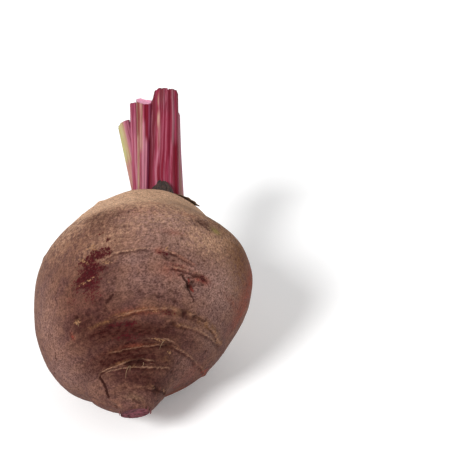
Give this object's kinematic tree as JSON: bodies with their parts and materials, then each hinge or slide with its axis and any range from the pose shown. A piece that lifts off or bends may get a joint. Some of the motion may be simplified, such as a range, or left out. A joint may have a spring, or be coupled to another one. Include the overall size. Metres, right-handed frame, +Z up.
{
  "type": "beetroot",
  "caption": "Whole red beet lying on its belly, with growth folds, a cut tail stub and ribbed leaf stalks cut off above the crown.",
  "frame": {"origin": "middle of the flat spot under the belly that the beet rests on", "axes": "+Z up, away from the surface it rests on; +Y level, from the tail towards the crown; +X to the right seen from the tail"},
  "size_m": [0.0842, 0.1333, 0.0926],
  "materials": {
    "skin": "matt corky skin with maroon patches, tan scurf and fine growth lines",
    "stalk": "satin crimson, striped with pink, cream and maroon along the ribs",
    "dry_leaf": "matt, dark grey-brown, shrunken and dry",
    "dry_sheath": "matt, papery brown with a paler rim"
  },
  "bodies": {
    "root": {"beet_root": "skin", "stalk_right": "stalk", "stalk_middle": "stalk", "stalk_narrow": "stalk", "stalk_left": "stalk", "stalk_far_right": "stalk", "stalk_back": "stalk", "stalk_inner": "stalk", "dry_leaf_base": "dry_leaf", "dry_scrap": "dry_sheath"}
  },
  "joints": []
}
